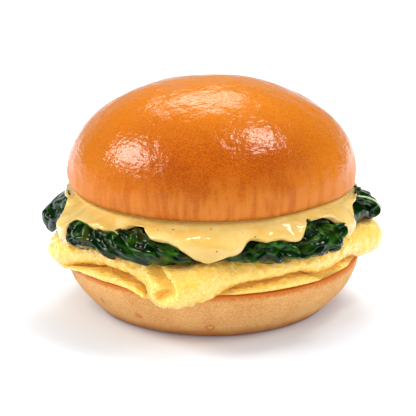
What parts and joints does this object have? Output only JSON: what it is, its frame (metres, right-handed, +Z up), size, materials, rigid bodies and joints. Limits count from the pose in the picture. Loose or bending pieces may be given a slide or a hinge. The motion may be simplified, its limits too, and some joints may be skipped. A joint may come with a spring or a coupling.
{
  "type": "breakfast sandwich",
  "caption": "Round glazed bun sandwich with a folded omelette, wilted spinach and thick cheese sauce running down over the filling.",
  "frame": {"origin": "centre of the flat foot of the lower bun", "axes": "+Z up through the stack; -Y towards the front, where the omelette's folded corner hangs over the bun; +X to the right seen from the front"},
  "size_m": [0.1182, 0.1128, 0.077],
  "materials": {
    "bun_heel_crust": "pale tan baked crust, dry and finely speckled",
    "egg": "soft yellow cooked egg, moist and finely pitted",
    "spinach": "wet, dark green cooked leaves",
    "sauce": "thick glossy pale yellow sauce",
    "bun_crown_crust": "glazed orange-brown baked crust"
  },
  "bodies": {
    "root": {"bun_heel": "bun_heel_crust", "egg": "egg", "spinach": "spinach", "sauce": "sauce", "bun_crown": "bun_crown_crust"}
  },
  "joints": []
}
